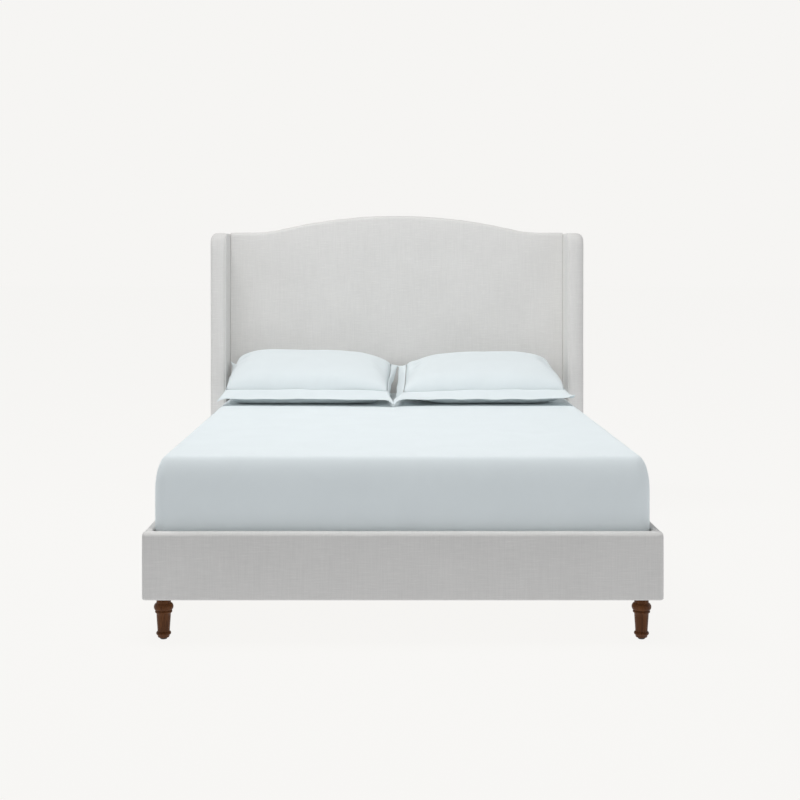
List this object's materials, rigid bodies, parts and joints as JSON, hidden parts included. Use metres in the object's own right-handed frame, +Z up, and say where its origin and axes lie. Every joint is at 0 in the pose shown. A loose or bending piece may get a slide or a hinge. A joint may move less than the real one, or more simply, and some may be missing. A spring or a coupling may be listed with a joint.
{
  "type": "upholstered headboard bed",
  "caption": "Queen bed with an arched, winged, linen-covered headboard, padded box rails on turned wooden legs, a slatted deck, and a mattress with sheet and flanged pillows.",
  "frame": {"origin": "on the floor, under the middle of the bed's outer box", "axes": "+Z up, +Y from the foot of the bed towards the headboard, +X to the right as seen from the foot"},
  "size_m": [1.672, 2.168, 1.371],
  "materials": {
    "linen": "slubby plain-weave linen blend, matt",
    "percale": "smooth white cotton percale",
    "ticking": "quilted knit over springs and foam",
    "pillow_fill": "cotton case filled with polyester fibre",
    "foam": "polyurethane foam with wadding",
    "lining": "black spun-bonded lining and webbing",
    "walnut": "turned hardwood, dark walnut stain, satin lacquer",
    "pine": "planed softwood",
    "plywood": "sanded plywood",
    "zinc_steel": "bright zinc plated",
    "black_steel": "black powder coat",
    "plastic": "black moulded nylon"
  },
  "bodies": {
    "frame": {"headboard_post_left": "pine", "headboard_post_right": "pine", "headboard_rail_lower": "pine", "headboard_rail_upper": "pine", "headboard_panel": "plywood", "headboard_foam": "foam", "headboard_cover": "linen", "headboard_back_cover": "lining", "wing_frame_left": "plywood", "wing_frame_right": "plywood", "wing_foam_left": "foam", "wing_foam_right": "foam", "wing_cover_left": "linen", "wing_cover_right": "linen", "wing_bolts": "zinc_steel", "side_rail_left": "pine", "side_rail_right": "pine", "side_rail_cover_left": "linen", "side_rail_cover_right": "linen", "foot_rail": "pine", "foot_rail_cover": "linen", "ledger_left": "pine", "ledger_right": "pine", "corner_blocks": "pine", "joining_plates": "black_steel", "plate_bolts": "zinc_steel", "corner_bolts": "zinc_steel", "centre_beam": "pine", "beam_brackets": "black_steel", "centre_leg_front": "pine", "centre_leg_rear": "pine", "slat_straps": "lining", "leg_front_left": "walnut", "leg_front_right": "walnut", "leg_rear_left": "walnut", "leg_rear_right": "walnut", "hanger_bolts": "zinc_steel", "leg_glides": "plastic", "slat_01": "pine", "slat_02": "pine", "slat_03": "pine", "slat_04": "pine", "slat_05": "pine", "slat_06": "pine", "slat_07": "pine", "slat_08": "pine", "slat_09": "pine", "slat_10": "pine", "slat_11": "pine", "slat_12": "pine"},
    "mattress": {"mattress": "ticking", "fitted_sheet": "percale"},
    "pillow_left": {"pillow_left": "pillow_fill", "pillow_cover_left": "percale"},
    "pillow_right": {"pillow_right": "pillow_fill", "pillow_cover_right": "percale"},
    "leveller_front_stem": {"leveller_stem_front": "zinc_steel"},
    "leveller_front_foot": {"leveller_foot_front": "plastic"},
    "leveller_rear_stem": {"leveller_stem_rear": "zinc_steel"},
    "leveller_rear_foot": {"leveller_foot_rear": "plastic"}
  },
  "joints": [
    {"name": "mattress_lift", "type": "slide", "parent": "frame", "child": "mattress", "axis": [0, 0, 1], "range_m": [0, 1.1]},
    {"name": "pillow_left_lift", "type": "slide", "parent": "mattress", "child": "pillow_left", "axis": [0, 0, 1], "range_m": [0, 0.85]},
    {"name": "pillow_right_lift", "type": "slide", "parent": "mattress", "child": "pillow_right", "axis": [0, 0, 1], "range_m": [0, 0.85]},
    {"name": "leveller_front_extend", "type": "slide", "parent": "frame", "child": "leveller_front_stem", "axis": [0, 0, -1], "range_m": [0, 0.015]},
    {"name": "leveller_front_turn", "type": "hinge", "parent": "leveller_front_stem", "child": "leveller_front_foot", "pos_m": [0, -0.34, 0], "axis": [0, 0, 1], "range_deg": [0, 3600]},
    {"name": "leveller_rear_extend", "type": "slide", "parent": "frame", "child": "leveller_rear_stem", "axis": [0, 0, -1], "range_m": [0, 0.015]},
    {"name": "leveller_rear_turn", "type": "hinge", "parent": "leveller_rear_stem", "child": "leveller_rear_foot", "pos_m": [0, 0.4, 0], "axis": [0, 0, 1], "range_deg": [0, 3600]}
  ],
  "couplings": [
    {"joint": "leveller_front_extend", "follows": "leveller_front_turn", "m_per_rad": 0.00023873},
    {"joint": "leveller_rear_extend", "follows": "leveller_rear_turn", "m_per_rad": 0.00023873}
  ]
}
